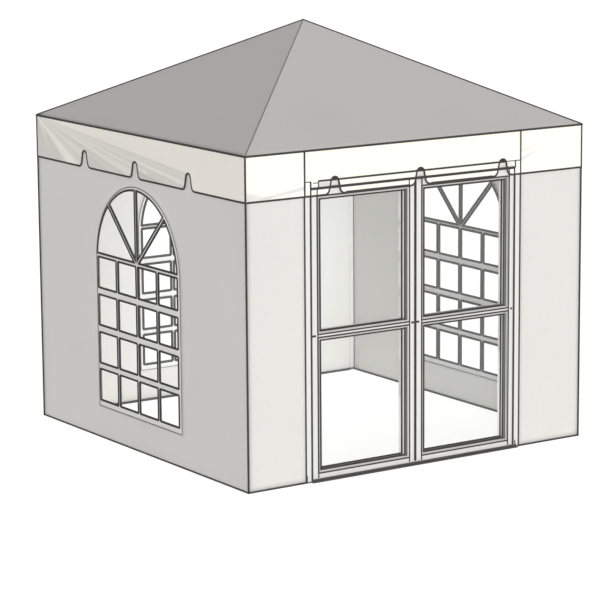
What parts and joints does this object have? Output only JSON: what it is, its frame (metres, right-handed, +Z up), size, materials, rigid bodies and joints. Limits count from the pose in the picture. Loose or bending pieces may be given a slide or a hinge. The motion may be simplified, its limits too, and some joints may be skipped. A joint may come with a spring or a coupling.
{
  "type": "marquee tent",
  "caption": "Square pyramid-roofed marquee with cloth walls, scalloped valance, arched barred windows and a glazed double door that opens inwards.",
  "frame": {"origin": "on the ground, under the roof's peak, at the centre of the plan", "axes": "+Z up, the door side faces -Y, +X to the right of someone who faces the door from outside"},
  "size_m": [3, 3, 3.1599],
  "materials": {
    "roof_cloth": "coated polyester, satin grey",
    "valance_cloth": "coated polyester, ivory white",
    "wall_cloth": "coated polyester, light warm grey",
    "clear_film": "clear soft film",
    "frame_metal": "satin anodised",
    "door_profile": "off-white powder coat",
    "door_glass": "clear float glass"
  },
  "bodies": {
    "tent": {"roof_panel_front": "roof_cloth", "roof_panel_right": "roof_cloth", "roof_panel_back": "roof_cloth", "roof_panel_left": "roof_cloth", "valance_front": "valance_cloth", "valance_right": "valance_cloth", "valance_back": "valance_cloth", "valance_left": "valance_cloth", "wall_front_left": "wall_cloth", "wall_front_right": "wall_cloth", "wall_front_over_door": "wall_cloth", "wall_right": "wall_cloth", "wall_back": "wall_cloth", "wall_left": "wall_cloth", "window_film_right": "clear_film", "window_film_back": "clear_film", "window_film_left": "clear_film", "post_front_left": "frame_metal", "post_front_right": "frame_metal", "post_back_right": "frame_metal", "post_back_left": "frame_metal", "eave_rail_front": "frame_metal", "eave_rail_right": "frame_metal", "eave_rail_back": "frame_metal", "eave_rail_left": "frame_metal", "rafter_front_left": "frame_metal", "rafter_front_right": "frame_metal", "rafter_back_right": "frame_metal", "rafter_back_left": "frame_metal", "roof_crown": "frame_metal", "door_jamb_left": "door_profile", "door_jamb_right": "door_profile", "door_header": "door_profile", "door_threshold": "door_profile"},
    "left_leaf": {"door_leaf_left_frame": "door_profile", "door_leaf_left_glass_upper": "door_glass", "door_leaf_left_glass_lower": "door_glass", "door_leaf_left_latch": "frame_metal"},
    "right_leaf": {"door_leaf_right_frame": "door_profile", "door_leaf_right_glass_upper": "door_glass", "door_leaf_right_glass_lower": "door_glass", "door_leaf_right_latch": "frame_metal"}
  },
  "joints": [
    {"name": "left_leaf_hinge", "type": "hinge", "parent": "tent", "child": "left_leaf", "pos_m": [-0.9565, -1.4095, 1.066], "axis": [0, 0, 1], "range_deg": [0, 90]},
    {"name": "right_leaf_hinge", "type": "hinge", "parent": "tent", "child": "right_leaf", "pos_m": [0.8665, -1.4095, 1.066], "axis": [0, 0, -1], "range_deg": [0, 90]}
  ]
}
